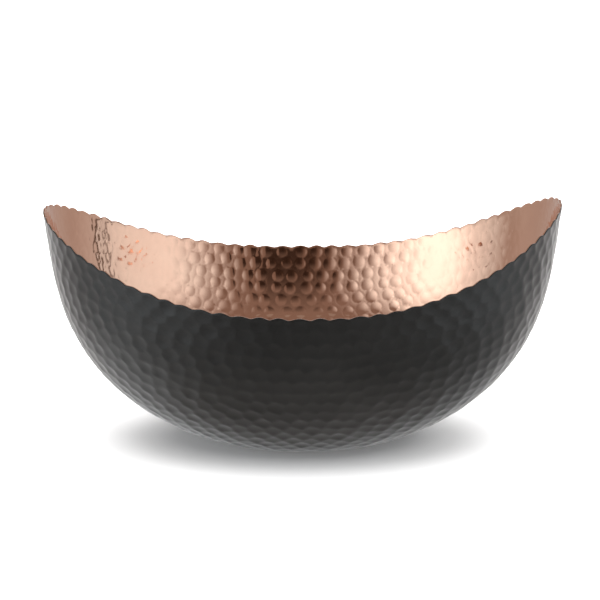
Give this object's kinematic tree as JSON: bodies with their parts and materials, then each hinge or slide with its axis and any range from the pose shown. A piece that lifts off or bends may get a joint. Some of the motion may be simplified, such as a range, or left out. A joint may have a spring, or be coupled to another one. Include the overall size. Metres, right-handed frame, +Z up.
{
  "type": "hammered boat bowl",
  "caption": "Oval hammered metal bowl with upswept tips and a scalloped rim, copper inside and matt black outside, on a flat base.",
  "frame": {"origin": "centre of the flat base, on the surface that the bowl stands on", "axes": "+Z up, +X along the length of the oval towards the slightly higher tip, +Y across it"},
  "size_m": [0.307, 0.2376, 0.1439],
  "materials": {
    "steel_sheet": "plain pressed steel, hidden between the two finishes",
    "polished_copper": "polished and lacquered copper with round hammer dents",
    "black_coat": "satin black coat over shallow hammer marks"
  },
  "bodies": {
    "root": {"bowl_sheet": "steel_sheet", "copper_lining": "polished_copper", "black_coat": "black_coat"}
  },
  "joints": []
}
